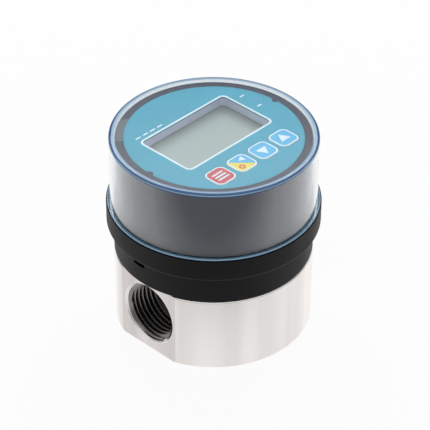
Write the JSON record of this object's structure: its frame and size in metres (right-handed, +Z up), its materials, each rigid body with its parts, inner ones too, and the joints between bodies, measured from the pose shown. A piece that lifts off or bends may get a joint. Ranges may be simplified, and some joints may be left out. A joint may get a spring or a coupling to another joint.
{
  "type": "oval gear flow meter",
  "caption": "Small oval gear flow meter: round steel body with threaded side ports, black head base and a round digital display with colour keys under a clear lift-off cover.",
  "frame": {"origin": "centre of the flat foot of the steel body", "axes": "+X from the inlet to the outlet port and the way the display reads, +Y up the display, +Z up"},
  "size_m": [0.0728, 0.0728, 0.0726],
  "materials": {
    "stainless_steel": "turned and milled",
    "gear_steel": "cut teeth, satin",
    "bearing_carbon": "filled bearing plastic",
    "magnet_nickel": "nickel plated",
    "screw_steel": "bright",
    "seal_rubber": "moulded",
    "black_plastic": "moulded, matt",
    "grey_plastic": "moulded, satin",
    "label_film": "printed film",
    "key_red": "printed film",
    "key_two_tone": "printed film, yellow and blue",
    "key_blue": "printed film",
    "white_plastic": "moulded",
    "display_glass": "liquid crystal, unlit",
    "circuit_board": "solder mask",
    "contact_metal": "plated spring strip",
    "battery_can": "sleeved can",
    "clear_plastic": "clear moulded"
  },
  "bodies": {
    "meter": {"meter_body": "stainless_steel", "chamber_plate": "stainless_steel", "gear_shaft_rear": "gear_steel", "gear_shaft_front": "gear_steel", "thrust_washers_rear": "bearing_carbon", "thrust_washers_front": "bearing_carbon", "plate_screws": "screw_steel", "base_screws": "screw_steel", "board_screws": "screw_steel", "sensor_screws": "screw_steel", "chamber_seal": "seal_rubber", "base_gasket": "seal_rubber", "head_base": "black_plastic", "battery_holder": "black_plastic", "key_switches": "black_plastic", "controller_chip": "black_plastic", "magnetic_sensor": "black_plastic", "display_shell": "grey_plastic", "face_label": "label_film", "panel_carrier": "white_plastic", "lead_sockets": "white_plastic", "ribbon_lead": "white_plastic", "display_panel": "display_glass", "main_board": "circuit_board", "sensor_board": "circuit_board", "battery_contacts": "contact_metal", "switch_domes": "contact_metal", "battery_cell": "battery_can"},
    "rear_gear": {"oval_gear_rear": "gear_steel", "gear_bush_rear": "bearing_carbon", "gear_magnets_rear": "magnet_nickel"},
    "front_gear": {"oval_gear_front": "gear_steel", "gear_bush_front": "bearing_carbon", "gear_magnets_front": "magnet_nickel"},
    "cover": {"clear_cover": "clear_plastic", "cover_seal": "seal_rubber"},
    "menu_key_unit": {"menu_key": "key_red", "menu_key_stem": "white_plastic"},
    "shift_key_unit": {"shift_key": "key_two_tone", "shift_key_stem": "white_plastic"},
    "down_key_unit": {"down_key": "key_blue", "down_key_stem": "white_plastic"},
    "up_key_unit": {"up_key": "key_blue", "up_key_stem": "white_plastic"}
  },
  "joints": [
    {"name": "rear_gear_spin", "type": "hinge", "parent": "meter", "child": "rear_gear", "pos_m": [0, 0.00993, 0.019], "axis": [0, 0, 1], "continuous": true},
    {"name": "front_gear_spin", "type": "hinge", "parent": "meter", "child": "front_gear", "pos_m": [0, -0.00993, 0.019], "axis": [0, 0, 1], "continuous": true},
    {"name": "cover_lift", "type": "slide", "parent": "meter", "child": "cover", "axis": [0, 0, 1], "range_m": [0, 0.03]},
    {"name": "menu_key_press", "type": "slide", "parent": "meter", "child": "menu_key_unit", "axis": [0, 0, -1], "range_m": [0, 0.0003], "stiffness_N_per_m": 400, "springref_m": -0.003},
    {"name": "shift_key_press", "type": "slide", "parent": "meter", "child": "shift_key_unit", "axis": [0, 0, -1], "range_m": [0, 0.0003], "stiffness_N_per_m": 400, "springref_m": -0.003},
    {"name": "down_key_press", "type": "slide", "parent": "meter", "child": "down_key_unit", "axis": [0, 0, -1], "range_m": [0, 0.0003], "stiffness_N_per_m": 400, "springref_m": -0.003},
    {"name": "up_key_press", "type": "slide", "parent": "meter", "child": "up_key_unit", "axis": [0, 0, -1], "range_m": [0, 0.0003], "stiffness_N_per_m": 400, "springref_m": -0.003}
  ],
  "couplings": [
    {"joint": "front_gear_spin", "follows": "rear_gear_spin", "ratio": -1}
  ]
}
